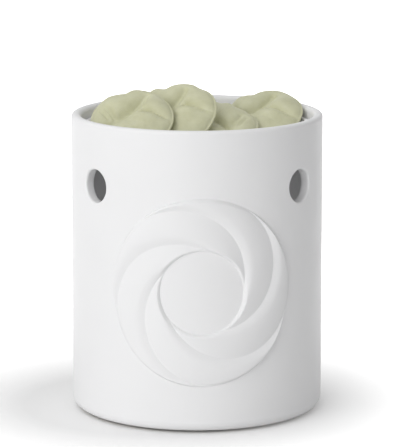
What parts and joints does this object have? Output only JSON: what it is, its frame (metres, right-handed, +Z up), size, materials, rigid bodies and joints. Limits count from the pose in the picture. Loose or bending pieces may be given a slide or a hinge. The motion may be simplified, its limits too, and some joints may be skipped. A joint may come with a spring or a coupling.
{
  "type": "wax melt warmer",
  "caption": "Upright glazed ceramic cylinder with an open wax dish, hot-air vents, a raised whirl and a small lamp that melts scented wax.",
  "frame": {"origin": "on the table, at the middle of the bounding box's footprint", "axes": "+Z up along the body's axis; the raised whirl and the two vents face -Y; the cord hole faces +Y"},
  "size_m": [0.1, 0.1038, 0.1294],
  "materials": {
    "glazed_body": "gloss",
    "glazed_dish": "gloss",
    "wax": "satin",
    "painted_plate": "satin",
    "plated_steel": "satin",
    "aluminium": "satin",
    "fibre": "matte",
    "rubber": "matte",
    "moulded_black": "satin",
    "moulded_white": "satin",
    "brass": "polished",
    "lead_brown": "satin",
    "lead_blue": "satin",
    "black_glass": "gloss",
    "solder": "satin",
    "clear_glass": "gloss",
    "filament": "satin"
  },
  "bodies": {
    "base": {"ceramic_shell": "glazed_body", "base_plate": "painted_plate", "base_screws": "plated_steel", "fibre_washers": "fibre", "base_nuts": "plated_steel", "rubber_feet": "rubber", "socket_bracket": "plated_steel", "bracket_rivets": "aluminium", "socket_nipple": "plated_steel", "nipple_nut": "plated_steel", "lampholder_housing": "moulded_black", "screw_shell": "brass", "centre_contact": "brass", "terminal_screws": "brass", "terminal_block": "moulded_white", "block_screw": "plated_steel", "clamp_screws": "brass", "lead_live": "lead_brown", "lead_neutral": "lead_blue", "cord_grommet": "rubber"},
    "dish": {"wax_dish": "glazed_dish"},
    "melts": {"wax_melt_left": "wax", "wax_melt_centre": "wax", "wax_melt_front": "wax", "wax_melt_right": "wax", "wax_melt_under_left": "wax", "wax_melt_under_right": "wax"},
    "bulb": {"bulb_cap": "brass", "bulb_insulator": "black_glass", "bulb_tip": "solder", "bulb_glass": "clear_glass", "bulb_stem": "clear_glass", "bulb_wires": "solder", "bulb_filament": "filament"}
  },
  "joints": [
    {"name": "dish_lift", "type": "slide", "parent": "base", "child": "dish", "axis": [0, 0, 1], "range_m": [0, 0.03]},
    {"name": "melts_lift", "type": "slide", "parent": "dish", "child": "melts", "axis": [0, 0, 1], "range_m": [0, 0.03]},
    {"name": "bulb_lift", "type": "slide", "parent": "base", "child": "bulb", "axis": [0, 0, 1], "range_m": [0, 0.021]}
  ]
}
